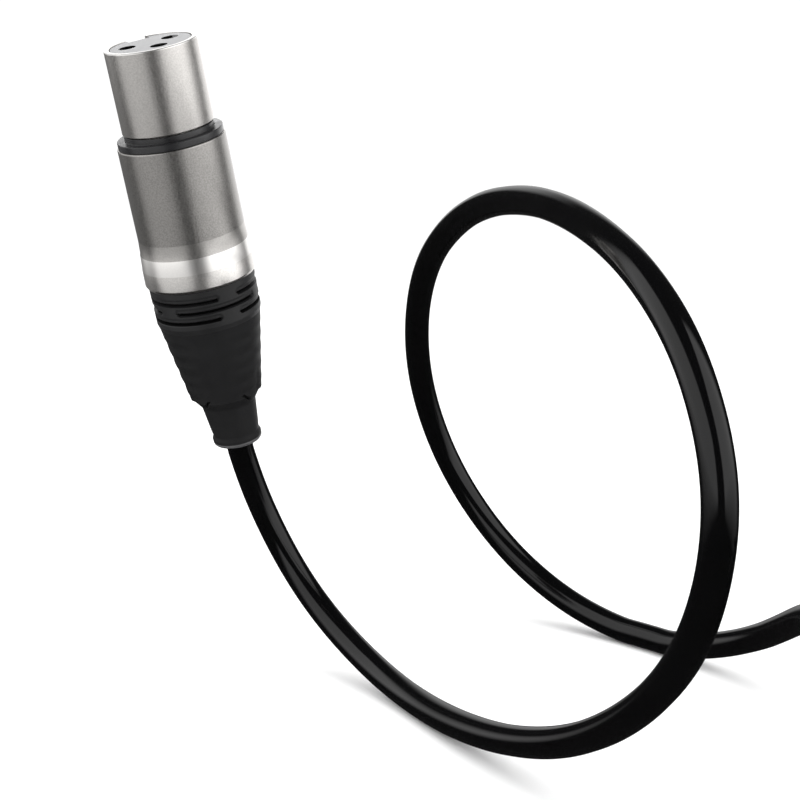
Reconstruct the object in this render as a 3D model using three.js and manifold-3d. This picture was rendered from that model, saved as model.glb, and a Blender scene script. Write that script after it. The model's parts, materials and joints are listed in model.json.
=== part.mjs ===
// A balanced microphone lead: a female three-contact cable connector, a stiff round cord that leaves it
// in one standing loop, the rest of the cord in a tied coil, and the male connector on its far end.
// Millimetres, +Z up. The origin is the middle of the female connector's mating face.
// Each connector is drawn in a frame of its own: +Z out of its mating face, +Y towards its key, and
// "depth" is the distance behind the mating face.

import * as THREE from 'three';
import { mergeVertices } from 'three/addons/utils/BufferGeometryUtils.js';
import Module from 'manifold-3d';

const wasm = await Module();
wasm.setup();

// ---- driving dimensions -------------------------------------------------------------------------

const SEGMENTS = 28;            // sides of a large turned part
const SMALL_SEGMENTS = 12;      // sides of a contact, pin or wire bore
const GAP = 0.3;                // clearance between neighbouring pieces

const FLOOR_Z = -112;           // the surface the cord rests on
const CORD_D = 4.8;
const CORD_R = CORD_D / 2;

const LEAN_DEG = 17.5;          // how far the female connector leans from upright
const LEAN_HEADING_DEG = -123;  // which way it leans, seen from above
const KEY_ROLL_DEG = 150;       // where its key points, about its own axis

const NOSE_R = 8.0;             // female nose, the size that every mating part expects
const NOSE_BORE_R = 7.1;
const NOSE_LENGTH = 14.1;
const RIM_PROUD = 0.3;          // the metal rim stands this far in front of the insert
const NECK_R = 7.0;             // tail of the nose or skirt, inside the shell
const NECK_BORE_R = 6.2;
const NECK_END = 18.0;
const SLOT_W = 3.8;             // keyway and latch slot

const RING_SLEEVE_R = 7.85;
const RING_FLANGE_R = 9.2;
const RING_FLANGE_FROM = 15.3;
const BODY_FROM = 16.5;         // shell front edge
const BODY_R = 9.43;
const BAND_FROM = 32.9;         // first of the three bevel bands
const BAND_2_FROM = 35.45;
const BAND_3_FROM = 38.2;
const BODY_MAX_R = 9.9;
const BODY_END = 41.5;
const THREAD_BORE_R = 8.3;
const THREAD_FROM = 35.2;
const THREAD_PITCH = 1.6;

const BOOT_FROM = 41.8;
const BOOT_SHOULDER = 49.3;     // end of the straight upper part
const BOOT_STEP = 63.9;         // end of the cone
const BOOT_END = 73.6;
const BOOT_BORE_R = 3.0;

const CONTACT_CIRCLE_R = 4.0;
const CONTACT_OFFSET_DEG = 78;  // contacts 1 and 2, either side of the key; contact 3 is opposite it
const CUP_END = 29.0;
const INSERT_R = 6.8;
const INSERT_NECK_R = 5.9;

const PIVOT_DEPTH = 33.0;       // the latch turns about a pin here
const PIVOT_Y = 5.8;
const LATCH_PIN_R = 0.5;
const CABLE_END_DEPTH = 36.0;   // the jacket is stripped back to here

const SKIRT_R = 9.43;           // male skirt
const SKIRT_BORE_R = 8.4;
const PIN_R = 1.19;
const PIN_TIP = 2.5;

const COIL_X = 148.2;           // the stored coil's middle
const COIL_Y = -58;
const COIL_MID_R = 28.8;        // 12 cord diameters across at the middle of its turns
const COIL_COLUMNS = 5;
const COIL_ROWS = 4;
const COIL_OUTER_TURN_R = COIL_MID_R + (COIL_COLUMNS - 1) / 2 * CORD_D;
const COIL_TOP_TURN_Z = FLOOR_Z + CORD_R + (COIL_ROWS - 1) * CORD_D;
const PEEL_LENGTH = 20;         // straight stretch where the cord leaves the coil
const STRAP_W = 8;
const STRAP_T = 1.2;

const MALE_EXIT_Y = 3;          // where the tail enters the male connector's boot
const MALE_AXIS_Z = FLOOR_Z + BODY_MAX_R;
const MALE_X = COIL_X + COIL_OUTER_TURN_R;

const STRAIGHT = 7;             // the cord leaves each boot straight for this far

// ---- materials ----------------------------------------------------------------------------------

function material(color, roughness, metalness) {
  return new THREE.MeshStandardMaterial({ color, roughness, metalness });
}

const nickel = () => material(0xb9b4ad, 0.34, 1.0);
const blackPlastic = () => material(0x1c1c1d, 0.45, 0.0);
const blackRubber = () => material(0x222223, 0.7, 0.0);
const greyPlastic = () => material(0x8d8f91, 0.5, 0.0);
const whitePlastic = () => material(0xd9d7d0, 0.5, 0.0);
const gold = () => material(0xc9a24b, 0.3, 1.0);
const steel = () => material(0x9a9da0, 0.3, 1.0);
const jacket = () => material(0x0b0b0c, 0.2, 0.0);
const strapFabric = () => material(0x18181a, 0.9, 0.0);

// ---- shape helpers ------------------------------------------------------------------------------

// A solid of revolution about Z from [radius, depth] points, which start and end on the axis or close.
function turned(points, segments = SEGMENTS) {
  const profile = points.map(([r, depth]) => new THREE.Vector2(r, -depth));
  const area = profile.reduce((sum, p, i) => {
    const q = profile[(i + 1) % profile.length];
    return sum + p.x * q.y - q.x * p.y;
  }, 0);
  if (area < 0) profile.reverse();
  const geometry = new THREE.LatheGeometry(profile, segments);
  geometry.rotateX(Math.PI / 2);
  return geometry;
}

function closed(points) {
  return [...points, points[0]];
}

function box(x0, x1, y0, y1, depth0, depth1) {
  const geometry = new THREE.BoxGeometry(x1 - x0, y1 - y0, depth1 - depth0);
  geometry.translate((x0 + x1) / 2, (y0 + y1) / 2, -(depth0 + depth1) / 2);
  return geometry;
}

function rod(radius, depth0, depth1, x = 0, y = 0, segments = SMALL_SEGMENTS) {
  const geometry = new THREE.CylinderGeometry(radius, radius, depth1 - depth0, segments);
  geometry.rotateX(Math.PI / 2);
  geometry.translate(x, y, -(depth0 + depth1) / 2);
  return geometry;
}

function crossRod(radius, halfLength, y, depth, segments = SMALL_SEGMENTS) {
  const geometry = new THREE.CylinderGeometry(radius, radius, halfLength * 2, segments);
  geometry.rotateZ(Math.PI / 2);
  geometry.translate(0, y, -depth);
  return geometry;
}

function circleShape(radius, sides) {
  const shape = new THREE.Shape();
  for (let i = 0; i < sides; i++) {
    const angle = 2 * Math.PI * i / sides;
    const put = i ? 'lineTo' : 'moveTo';
    shape[put](radius * Math.cos(angle), radius * Math.sin(angle));
  }
  shape.closePath();
  return shape;
}

function tube(curve, radius, steps, sides) {
  return new THREE.ExtrudeGeometry(circleShape(radius, sides), { steps, extrudePath: curve });
}

// A flat outline of [x, y] points made `thickness` thick along Z, centred.
function plate(points, thickness) {
  const shape = new THREE.Shape(points.map(([x, y]) => new THREE.Vector2(x, y)));
  const geometry = new THREE.ExtrudeGeometry(shape, { depth: thickness, bevelEnabled: false });
  geometry.translate(0, 0, -thickness / 2);
  return geometry;
}

function solid(geometry) {
  const bare = geometry.clone();
  bare.deleteAttribute('normal');
  bare.deleteAttribute('uv');
  const merged = mergeVertices(bare, 1e-5);
  return new wasm.Manifold(new wasm.Mesh({
    numProp: 3,
    vertProperties: new Float32Array(merged.attributes.position.array),
    triVerts: new Uint32Array(merged.index.array),
  }));
}

function asGeometry(body) {
  const mesh = body.getMesh();
  const geometry = new THREE.BufferGeometry();
  geometry.setAttribute('position', new THREE.BufferAttribute(mesh.vertProperties, 3));
  geometry.setIndex(new THREE.BufferAttribute(mesh.triVerts, 1));
  geometry.computeVertexNormals();
  return geometry;
}

function cut(geometry, ...tools) {
  return asGeometry(tools.reduce((body, tool) => body.subtract(solid(tool)), solid(geometry)));
}

function join(geometry, ...others) {
  return asGeometry(others.reduce((body, other) => body.add(solid(other)), solid(geometry)));
}

function named(name, geometry, look) {
  const mesh = new THREE.Mesh(geometry, look);
  mesh.name = name;
  return mesh;
}

function contactPlaces() {
  return [90 + CONTACT_OFFSET_DEG, 90 - CONTACT_OFFSET_DEG, -90].map((degrees) => {
    const angle = THREE.MathUtils.degToRad(degrees);
    return [CONTACT_CIRCLE_R * Math.cos(angle), CONTACT_CIRCLE_R * Math.sin(angle)];
  });
}

// ---- pieces that both connectors have -----------------------------------------------------------

function shell() {
  return turned(closed([
    [NECK_R + GAP, BODY_FROM], [BODY_R - 0.28, BODY_FROM], [BODY_R, BODY_FROM + 0.28],
    [BODY_R, BAND_FROM], [9.66, BAND_2_FROM], [9.87, BAND_3_FROM],
    [BODY_MAX_R, BODY_END - 0.9], [9.65, BODY_END], [THREAD_BORE_R, BODY_END],
    [THREAD_BORE_R, THREAD_FROM], [7.8, THREAD_FROM], [7.8, 22.5], [NECK_R + GAP, 22.5],
  ]));
}

function codingRing(sleeveR) {
  const bore = NECK_R + GAP;
  const front = NOSE_LENGTH + GAP;
  const back = BODY_FROM - GAP;
  return turned(closed([
    [bore, front], [sleeveR, front], [sleeveR, RING_FLANGE_FROM],
    [RING_FLANGE_R - 0.2, RING_FLANGE_FROM], [RING_FLANGE_R, RING_FLANGE_FROM + 0.2],
    [RING_FLANGE_R, back], [bore, back],
  ]));
}

// The collet that grips the cord: a sleeve slit into four fingers, closed by the bushing's cone.
function chuck() {
  const bore = CORD_R + GAP;
  const sleeve = turned(closed([
    [bore, 36.6], [5.3, 36.6], [5.3, 44.0], [3.9, 48.5], [bore, 48.5],
  ]), 20);
  return cut(sleeve, box(-0.5, 0.5, -7, 7, 40.5, 50), box(-7, 7, -0.5, 0.5, 40.5, 50));
}

// A right-handed helix about Z that runs back from startDepth.
class Helix extends THREE.Curve {
  constructor(radius, pitch, turns, startDepth) {
    super();
    Object.assign(this, { radius, pitch, turns, startDepth });
  }

  getPoint(t, target = new THREE.Vector3()) {
    const angle = -2 * Math.PI * this.turns * t;
    const depth = this.startDepth + this.pitch * this.turns * t;
    return target.set(this.radius * Math.cos(angle), this.radius * Math.sin(angle), -depth);
  }
}

// The threaded bushing under the boot. Its rib has the pitch and the hand of the thread.
function bushing() {
  const body = turned(closed([
    [5.7, 35.7], [7.45, 35.7], [7.45, 41.6], [7.3, 50.0], [5.2, 55.0],
    [4.1, 55.0], [4.1, 50.0], [5.7, 44.8],
  ]));
  const rib = tube(new Helix(7.5, THREAD_PITCH, 2.6, 36.4), 0.4, 30, 5);
  return join(body, rib);
}

function boot() {
  return turned(closed([
    [7.8, BOOT_FROM], [9.45, BOOT_FROM], [9.35, BOOT_SHOULDER - 1], [9.1, BOOT_SHOULDER],
    [6.6, BOOT_STEP - 0.2], [5.9, BOOT_STEP], [4.95, 65.4], [4.4, 70.6], [4.25, 71.7],
    [4.48, 72.5], [4.42, 73.3], [4.1, BOOT_END], [BOOT_BORE_R, BOOT_END],
    [BOOT_BORE_R, 61.0], [5.5, 56.0], [7.65, 50.3],
  ]));
}

// The end of the jacket inside the connector, from the stripped edge to the boot's mouth.
function cableEnd() {
  return rod(CORD_R, CABLE_END_DEPTH, BOOT_END, 0, 0, 12);
}

// Each core runs from the stripped jacket into the solder cup of its contact.
function core(index) {
  const [x, y] = contactPlaces()[index];
  const points = [
    [x * 0.28, y * 0.28, CABLE_END_DEPTH - GAP], [x * 0.33, y * 0.33, 34.0],
    [x * 0.9, y * 0.9, 31.0], [x, y, CUP_END], [x, y, 26.2],
  ].map(([px, py, depth]) => new THREE.Vector3(px, py, -depth));
  return tube(new THREE.CatmullRomCurve3(points), 0.5, 9, 6);
}

// Springs against the shell's inside and carries the screen to it.
function groundSpring() {
  const shape = new THREE.Shape();
  shape.absarc(0, 0, 7.5, -2.2, -0.94, false);
  shape.absarc(0, 0, 7.1, -0.94, -2.2, true);
  shape.closePath();
  const arc = new THREE.ExtrudeGeometry(shape, { depth: 5, bevelEnabled: false, curveSegments: 8 });
  arc.translate(0, 0, -30);
  return join(arc, box(-1.1, 1.1, -7.3, -5.75, 25.1, 25.6));
}

// The back of a contact: a stem through the insert and a solder cup open on its outer side.
function withSolderCup(frontProfile) {
  const stemR = 1.2;
  const body = turned([...frontProfile, [stemR, 12.2], [stemR, CUP_END], [0, CUP_END]], SMALL_SEGMENTS);
  return cut(body, rod(0.85, 25.0, 30.0), box(-2, 2, 0.35, 2, 25.6, 30.0));
}

function addRear(group, prefix) {
  group.add(named(`${prefix}_ground_spring`, groundSpring(), steel()));
  group.add(named(`${prefix}_cable_end`, cableEnd(), jacket()));
  group.add(named(`${prefix}_chuck`, chuck(), whitePlastic()));
  group.add(named(`${prefix}_bushing`, bushing(), blackPlastic()));
  group.add(named(`${prefix}_boot`, boot(), blackRubber()));
  ['screen', 'red_core', 'white_core'].forEach((wire, index) => {
    const looks = [steel(), material(0xa02a22, 0.5, 0), whitePlastic()];
    group.add(named(`${prefix}_${wire}`, core(index), looks[index]));
  });
}

// ---- female connector ---------------------------------------------------------------------------

function nose() {
  const sleeve = turned(closed([
    [NOSE_BORE_R, -RIM_PROUD], [NOSE_R - 0.2, -RIM_PROUD], [NOSE_R, -RIM_PROUD + 0.2],
    [NOSE_R, NOSE_LENGTH], [NECK_R, NOSE_LENGTH], [NECK_R, NECK_END],
    [NECK_BORE_R, NECK_END], [NECK_BORE_R, 13.9], [NOSE_BORE_R, 13.9],
  ]));
  return cut(sleeve, box(-SLOT_W / 2, SLOT_W / 2, 3, 9, -1, NECK_END + 1));
}

function femaleShell() {
  return cut(shell(), box(-3.3, 3.3, 4, 11, 18.2, 26.6));
}

function insertFront() {
  const bores = contactPlaces().flatMap(([x, y]) => [
    rod(1.5, -1, 3, x, y), rod(2.1, 2.3, 13, x, y),
  ]);
  const halfSlot = SLOT_W / 2 + 0.05;
  return cut(rod(INSERT_R, 0, 12, 0, 0, SEGMENTS), ...bores,
    box(-halfSlot, halfSlot, 5.3, 8, -1, 13), box(-halfSlot, halfSlot, 3.4, 8, 5.5, 13));
}

// The rear insert carries the contacts' stems and, on two ears, the latch's pivot pin.
function insertRear() {
  const turnedPart = turned([
    [0, 12.3], [INSERT_R, 12.3], [INSERT_R, 13.6], [INSERT_NECK_R, 13.6],
    [INSERT_NECK_R, 24.0], [0, 24.0],
  ]);
  const ears = [box(2.0, 3.4, 3.4, 6.7, 23.5, 35.0), box(-3.4, -2.0, 3.4, 6.7, 23.5, 35.0)];
  const body = join(turnedPart, ...ears);
  const halfSlot = SLOT_W / 2 + 0.05;
  const springSeat = new THREE.CylinderGeometry(1.5, 1.5, 4, SMALL_SEGMENTS);
  springSeat.translate(0, 4, -21.0);
  const buttonRoom = box(-4, 4, 6.2, 7.5, 23, 28);
  return cut(body, ...contactPlaces().map(([x, y]) => rod(1.5, 11, 25, x, y)),
    box(-halfSlot, halfSlot, 3.9, 8, 11, 25), springSeat, buttonRoom,
    crossRod(LATCH_PIN_R + GAP, 5, PIVOT_Y, PIVOT_DEPTH));
}

function socketContact() {
  return withSolderCup([[0, 11.0], [1.25, 11.0], [1.25, 2.6], [1.8, 2.6], [1.8, 11.9], [1.2, 12.0]]);
}

// One lever: hook at the front, button in the shell's window, pivot at the back.
function latch() {
  const outline = [
    [-7.6, 5.5], [-7.6, 7.3], [-9.4, 8.8], [-10.6, 8.8], [-10.6, 6.7], [-31.4, 6.7], [-31.8, 7.0],
    [-34.2, 7.0], [-34.9, 5.8], [-34.2, 4.6], [-31.8, 4.6], [-30.9, 5.5],
  ];
  const lever = plate(outline, 3.2);
  lever.rotateY(-Math.PI / 2);
  const button = box(-2.95, 2.95, 7.3, 10.1, 18.6, 26.2);
  const stalk = box(-1.6, 1.6, 6.0, 7.6, 18.6, 26.2);
  return cut(join(lever, button, stalk), crossRod(LATCH_PIN_R + GAP, 5, PIVOT_Y, PIVOT_DEPTH));
}

function latchSpring() {
  const spring = tube(new Helix(0.95, 0.72, 3.5, 0), 0.17, 42, 6);
  spring.rotateX(Math.PI / 2);
  spring.translate(0, 2.4, -21.0);
  return spring;
}

function femaleConnector() {
  const group = new THREE.Group();
  group.add(named('female_nose', nose(), nickel()));
  group.add(named('female_shell', femaleShell(), nickel()));
  group.add(named('female_coding_ring', codingRing(RING_SLEEVE_R), blackPlastic()));
  group.add(named('female_insert_front', insertFront(), greyPlastic()));
  group.add(named('female_insert_rear', insertRear(), greyPlastic()));
  contactPlaces().forEach(([x, y], index) => {
    const contact = named(`female_socket_${index + 1}`, socketContact(), gold());
    contact.position.set(x, y, 0);
    group.add(contact);
  });
  group.add(named('female_latch', latch(), nickel()));
  group.add(named('female_latch_pin', crossRod(LATCH_PIN_R, 3.6, PIVOT_Y, PIVOT_DEPTH), steel()));
  group.add(named('female_latch_spring', latchSpring(), steel()));
  addRear(group, 'female');
  const turn = THREE.MathUtils.degToRad;
  group.rotateZ(turn(LEAN_HEADING_DEG));
  group.rotateY(turn(LEAN_DEG));
  group.rotateZ(turn(KEY_ROLL_DEG));
  return group;
}

// ---- male connector -----------------------------------------------------------------------------

// The skirt has a key ridge inside it and a recess that the female latch hooks into.
function skirt() {
  const sleeve = turned(closed([
    [SKIRT_BORE_R, 0], [SKIRT_R - 0.25, 0], [SKIRT_R, 0.25], [SKIRT_R, NOSE_LENGTH],
    [NECK_R, NOSE_LENGTH], [NECK_R, NECK_END], [NECK_BORE_R, NECK_END], [NECK_BORE_R, 12.9],
    [SKIRT_BORE_R, 12.9],
  ]));
  const keyed = join(sleeve, box(-1.5, 1.5, 7.2, 8.8, 8.6, 11.7));
  return cut(keyed, box(-2.1, 2.1, 7.5, 9.05, 4.2, 8.0));
}

function maleInsert() {
  const disc = turned([
    [0, 12.0], [SKIRT_BORE_R - GAP, 12.0], [SKIRT_BORE_R - GAP, 12.6], [INSERT_NECK_R, 12.6],
    [INSERT_NECK_R, 24.0], [0, 24.0],
  ]);
  return cut(disc, ...contactPlaces().map(([x, y]) => rod(1.5, 11, 25, x, y)));
}

function pin() {
  return withSolderCup([[0, PIN_TIP], [0.7, PIN_TIP], [PIN_R, PIN_TIP + 0.7], [PIN_R, 12.1]]);
}

function maleConnector() {
  const group = new THREE.Group();
  group.add(named('male_skirt', skirt(), nickel()));
  group.add(named('male_shell', shell(), nickel()));
  group.add(named('male_coding_ring', codingRing(SKIRT_R - 0.5), blackPlastic()));
  group.add(named('male_insert', maleInsert(), blackPlastic()));
  contactPlaces().forEach(([x, y], index) => {
    const contact = named(`male_pin_${index + 1}`, pin(), gold());
    contact.position.set(x, y, 0);
    group.add(contact);
  });
  addRear(group, 'male');
  group.position.set(MALE_X, MALE_EXIT_Y + BOOT_END, MALE_AXIS_Z);
  group.rotateX(-Math.PI / 2);
  group.rotateZ(Math.PI);
  return group;
}

// ---- cord ---------------------------------------------------------------------------------------

const vector = ([x, y, z]) => new THREE.Vector3(x, y, z);

function femaleAxis() {
  const lean = THREE.MathUtils.degToRad(LEAN_DEG);
  const heading = THREE.MathUtils.degToRad(LEAN_HEADING_DEG);
  return new THREE.Vector3(
    Math.sin(lean) * Math.cos(heading), Math.sin(lean) * Math.sin(heading), Math.cos(lean));
}

// From the female boot down to the floor, up and round the standing loop, and on to the coil.
const LOOP_POINTS = [
  [18.2, 21.5, -87.4], [22.5, 19.5, -95], [28.3, 14, -101.9], [36.7, 1.8, -107.4],
  [44.1, -13.4, -109.6], [51.5, -29.9, -108.8], [59.5, -46.3, -106.1], [67.5, -62, -100.5],
  [74.5, -75.5, -91.5], [79.6, -86.5, -78.5], [81.5, -90, -61], [78.8, -83, -45.1], [74.4, -69, -35],
  [70, -52, -29.5], [66, -35, -26.7], [62, -17.5, -25.8], [57, 0, -26.8], [52.1, 16.5, -30.6],
  [47.7, 32, -38.4], [45.4, 45.5, -50.5], [46.7, 55, -65.4], [52.6, 58.5, -81.9], [62.5, 54.5, -96.4],
  [74.2, 44.5, -105.8], [85.7, 31.8, -109.6], [96, 17.5, -108.8], [104.3, 3, -103.6],
  [108.3, -10.5, -97.8], [109.7, -21, -94.2],
];

function loopCurve() {
  const axis = femaleAxis();
  const behind = (depth) => axis.clone().multiplyScalar(-depth);
  const entryX = COIL_X - COIL_OUTER_TURN_R;
  return new THREE.CatmullRomCurve3([
    behind(BOOT_END + GAP), behind(BOOT_END + STRAIGHT), ...LOOP_POINTS.map(vector),
    new THREE.Vector3(entryX, COIL_Y + PEEL_LENGTH, COIL_TOP_TURN_Z),
    new THREE.Vector3(entryX, COIL_Y + GAP, COIL_TOP_TURN_Z),
  ]);
}

function tailCurve() {
  const low = FLOOR_Z + CORD_R;
  const end = MALE_EXIT_Y - GAP;
  const leave = COIL_Y + PEEL_LENGTH;
  return new THREE.CatmullRomCurve3([
    [MALE_X, COIL_Y + GAP, low], [MALE_X, leave, low], [MALE_X, leave + 9, low + 0.7],
    [MALE_X, leave + 17, (low + MALE_AXIS_Z) / 2], [MALE_X, leave + 25, MALE_AXIS_Z - 0.7],
    [MALE_X, MALE_EXIT_Y - STRAIGHT, MALE_AXIS_Z], [MALE_X, end, MALE_AXIS_Z],
  ].map(vector));
}

// A straight groove that lets the cord lie against the coil where it peels off, along +Y.
function peelGroove(x, z) {
  const groove = new THREE.CylinderGeometry(CORD_R + GAP, CORD_R + GAP, PEEL_LENGTH + 6, 16);
  groove.translate(x, COIL_Y + (PEEL_LENGTH + 6) / 2, z);
  return groove;
}

// The outer shape of the turns: a ring with rounded corners.
function coil() {
  const inner = COIL_MID_R - COIL_COLUMNS / 2 * CORD_D;
  const outer = COIL_MID_R + COIL_COLUMNS / 2 * CORD_D;
  const height = COIL_ROWS * CORD_D;
  const corner = 1.6;
  const ring = turned(closed([
    [inner + corner, 0], [outer - corner, 0], [outer, -corner], [outer, corner - height],
    [outer - corner, -height], [inner + corner, -height], [inner, corner - height], [inner, -corner],
  ]), 40);
  ring.translate(COIL_X, COIL_Y, FLOOR_Z);
  const strapPass = new THREE.BoxGeometry(STRAP_W + 2 * GAP, 24, 2 * (STRAP_T + GAP));
  strapPass.translate(COIL_X, COIL_Y - COIL_MID_R, FLOOR_Z);
  return cut(ring, strapPass, peelGroove(COIL_X - COIL_OUTER_TURN_R, COIL_TOP_TURN_Z),
    peelGroove(MALE_X, FLOOR_Z + CORD_R));
}

// A hook-and-loop strap closed round the turns on the coil's -Y side. It passes under the turns, which
// rise over it.
function strap() {
  const halfW = COIL_COLUMNS * CORD_D / 2 + GAP;
  const innerBulge = 0.5;
  const low = 0.05;
  const high = STRAP_T + COIL_ROWS * CORD_D + 2 * GAP;
  const outline = roundedBox(-halfW - innerBulge - STRAP_T, halfW + STRAP_T, low, high + STRAP_T, 2.4);
  outline.holes.push(roundedBox(-halfW - innerBulge, halfW, low + STRAP_T, high, 0.5));
  const settings = { depth: STRAP_W, bevelEnabled: false, curveSegments: 3 };
  const band = new THREE.ExtrudeGeometry(outline, settings);
  band.translate(0, 0, -STRAP_W / 2);
  band.rotateX(Math.PI / 2);
  band.rotateZ(-Math.PI / 2);
  band.translate(COIL_X, COIL_Y - COIL_MID_R, FLOOR_Z);
  return band;
}

function roundedBox(x0, x1, y0, y1, r) {
  const shape = new THREE.Shape();
  shape.absarc(x1 - r, y0 + r, r, -Math.PI / 2, 0, false);
  shape.absarc(x1 - r, y1 - r, r, 0, Math.PI / 2, false);
  shape.absarc(x0 + r, y1 - r, r, Math.PI / 2, Math.PI, false);
  shape.absarc(x0 + r, y0 + r, r, Math.PI, 1.5 * Math.PI, false);
  shape.closePath();
  return shape;
}

// ---- assembly -----------------------------------------------------------------------------------

const lead = new THREE.Group();
lead.add(femaleConnector());
lead.add(maleConnector());
lead.add(named('cord', tube(loopCurve(), CORD_R, 58, 10), jacket()));
lead.add(named('cord_coil', coil(), jacket()));
lead.add(named('cord_tail', tube(tailCurve(), CORD_R, 10, 10), jacket()));
lead.add(named('coil_strap', strap(), strapFabric()));

export default lead;
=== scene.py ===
"""The looks of a balanced microphone lead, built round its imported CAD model.

Sizes are in millimetres where a name or comment says so, and in metres for Blender. Each connector has
a frame of its own: +Z out of its mating face, +Y towards its key. "Depth" is the distance behind the face.
"""

import json
import math

import bmesh
import bpy
from mathutils import Matrix, Vector


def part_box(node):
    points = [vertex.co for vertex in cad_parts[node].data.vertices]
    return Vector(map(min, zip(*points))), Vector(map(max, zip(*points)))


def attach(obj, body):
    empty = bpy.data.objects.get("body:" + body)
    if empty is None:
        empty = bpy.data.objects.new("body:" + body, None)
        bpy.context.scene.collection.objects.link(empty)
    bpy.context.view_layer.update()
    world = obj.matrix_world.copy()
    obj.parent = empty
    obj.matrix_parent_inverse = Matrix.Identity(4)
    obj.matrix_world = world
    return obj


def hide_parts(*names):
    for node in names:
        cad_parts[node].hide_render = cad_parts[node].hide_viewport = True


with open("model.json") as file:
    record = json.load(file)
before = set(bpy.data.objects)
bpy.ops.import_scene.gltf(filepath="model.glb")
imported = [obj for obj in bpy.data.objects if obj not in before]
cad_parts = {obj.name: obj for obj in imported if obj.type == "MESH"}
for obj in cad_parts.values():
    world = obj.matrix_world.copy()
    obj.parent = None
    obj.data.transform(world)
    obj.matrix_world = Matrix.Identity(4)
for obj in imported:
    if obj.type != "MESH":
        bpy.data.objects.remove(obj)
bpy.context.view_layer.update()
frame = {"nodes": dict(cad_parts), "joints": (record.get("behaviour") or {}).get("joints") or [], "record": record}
record = frame["record"]

MM = 0.001
FLOOR_Z = -0.112  # metres


def mount(name):
    return next(m for m in record["mounts"] if m["name"] == name)


def joint(name):
    return next(j for j in frame["joints"] if j["name"] == name)


def axes(x, z, origin):
    """The matrix of a connector's own frame, in metres."""
    y = z.cross(x)
    columns = Matrix((x, y, z)).transposed().to_4x4()
    return Matrix.Translation(origin) @ columns


def connector_frames():
    face = mount("female_face")
    female = axes(
        Vector(joint("latch_press")["axis"]).normalized(),
        Vector(face["axis"]).normalized(),
        Vector(face["pos_m"]),
    )
    male = axes(
        Vector((-1, 0, 0)),
        Vector(mount("male_face")["axis"]),
        Vector(joint("male_cap_turn")["pos_m"]),
    )
    return female, male


FEMALE, MALE = connector_frames()

# ---- driving dimensions, in millimetres ---------------------------------------------------------

CORD_D = 4.8
CORD_R = CORD_D / 2
LINE_STEP = 1.6  # between the points of the cord's middle line
BOOT_OVERLAP = 0.6  # how far the cord's ends reach into the boots
FAIRING_PASSES = 38
CORNER_REACH = 12  # in points of the line
CORNER_PASSES = 10

NOSE_R = 8.0
NOSE_BORE_R = 7.1
NOSE_BORE_END = 13.9
NOSE_LENGTH = 14.1
RIM_PROUD = 0.3
NECK_R = 7.0
NECK_BORE_R = 6.2
NECK_END = 18.0
SLOT_W = 3.8
INSERT_R = 6.95
INSERT_FACE = -0.22  # the front carrier stands proud of the mating face
INSERT_FRONT_END = 12
PAINTED_SHADE_WITHIN_R = 5.25  # inside this radius the walls behind the insert's face get painted shade

RING_BORE_R = NECK_R + 0.3
RING_SLEEVE_R = 7.85
RING_FLANGE_R = 9.2
RING_FLANGE_FROM = 15.3
BODY_FROM = 16.5
BODY_R = 9.43
BAND_FROM = 32.9
BAND_2_FROM = 35.45
BAND_3_FROM = 38.2
BODY_MAX_R = 9.9
BODY_END = 41.5
SHELL_ROOM_R = 7.8
SHELL_ROOM_FROM = 22.5
THREAD_BORE_R = 8.3
THREAD_FROM = 35.2
THREAD_PITCH = 1.6
THREAD_HEIGHT = 0.42
THREAD_CUT_FROM, THREAD_CUT_TO = 35.9, 41.2

BOOT_FROM = 41.58
BOOT_SHOULDER = 49.3
BOOT_STEP = 63.9
BOOT_END = 73.6
BOOT_BORE_R = 3.0
BOOT_MOUTH_R = 3.65
# how far from the boot's end the lip's painted highlight reaches
BOOT_LIP_HIGHLIGHT_LENGTH = 0.75
BOOT_LIP_BORE_R = 4.1
BOOT_LEAN = 0.27  # of the female boot's cable end, to one side
BOOT_COLLAR_R = 9.5
BOOT_SLOT_ROWS = ((43.35, 38), (45.1, -34), (46.85, 38))  # depth, and degrees to the first slot
BOOT_SLOT_SPAN = 91  # degrees
BOOT_SLOT_HALF_W = 0.66
BOOT_RIBS_FROM, BOOT_RIBS_TO, BOOT_RIB_PITCH = 50.2, 63.6, 2.75
FLAT_FROM = 57
FLAT_DEPTH = 0.37
FLAT_HALF_SPAN, FLAT_FADE = 62, 14  # degrees
NOTCH_FROM, NOTCH_TO = 63.2, 65.0
NOTCH_TURN, NOTCH_SLANT = 38, 10  # degrees, and degrees per millimetre
NOTCH_AT_R = 5.8
NOTCH_HALF_W = 0.32
NOTCH_DEPTH = 0.8
VIEW_TURN = -108  # degrees about each connector's axis to the side that the boot's pattern starts from

CONTACT_CIRCLE_R = 4.0
CONTACT_OFFSET_DEG = 78
CONTACT_R = 1.2
CUP_END = 29.0
PIVOT_DEPTH = 33.0
PIVOT_Y = 5.8
LEVER_HALF_W = 1.6
BUTTON_FROM, BUTTON_TO = 18.6, 26.2
BUTTON_HALF_W = 2.95
BUTTON_RIBS_FROM, BUTTON_RIB_PITCH = 19.9, 1.35
LATCH_SPRING_DEPTH = 21.0

SKIRT_R = 9.43
SKIRT_BORE_R = 8.4
SKIRT_BORE_END = 12.9
MALE_INSERT_END = 24.0
PIN_R = 1.19
PIN_TIP = 2.5

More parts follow.
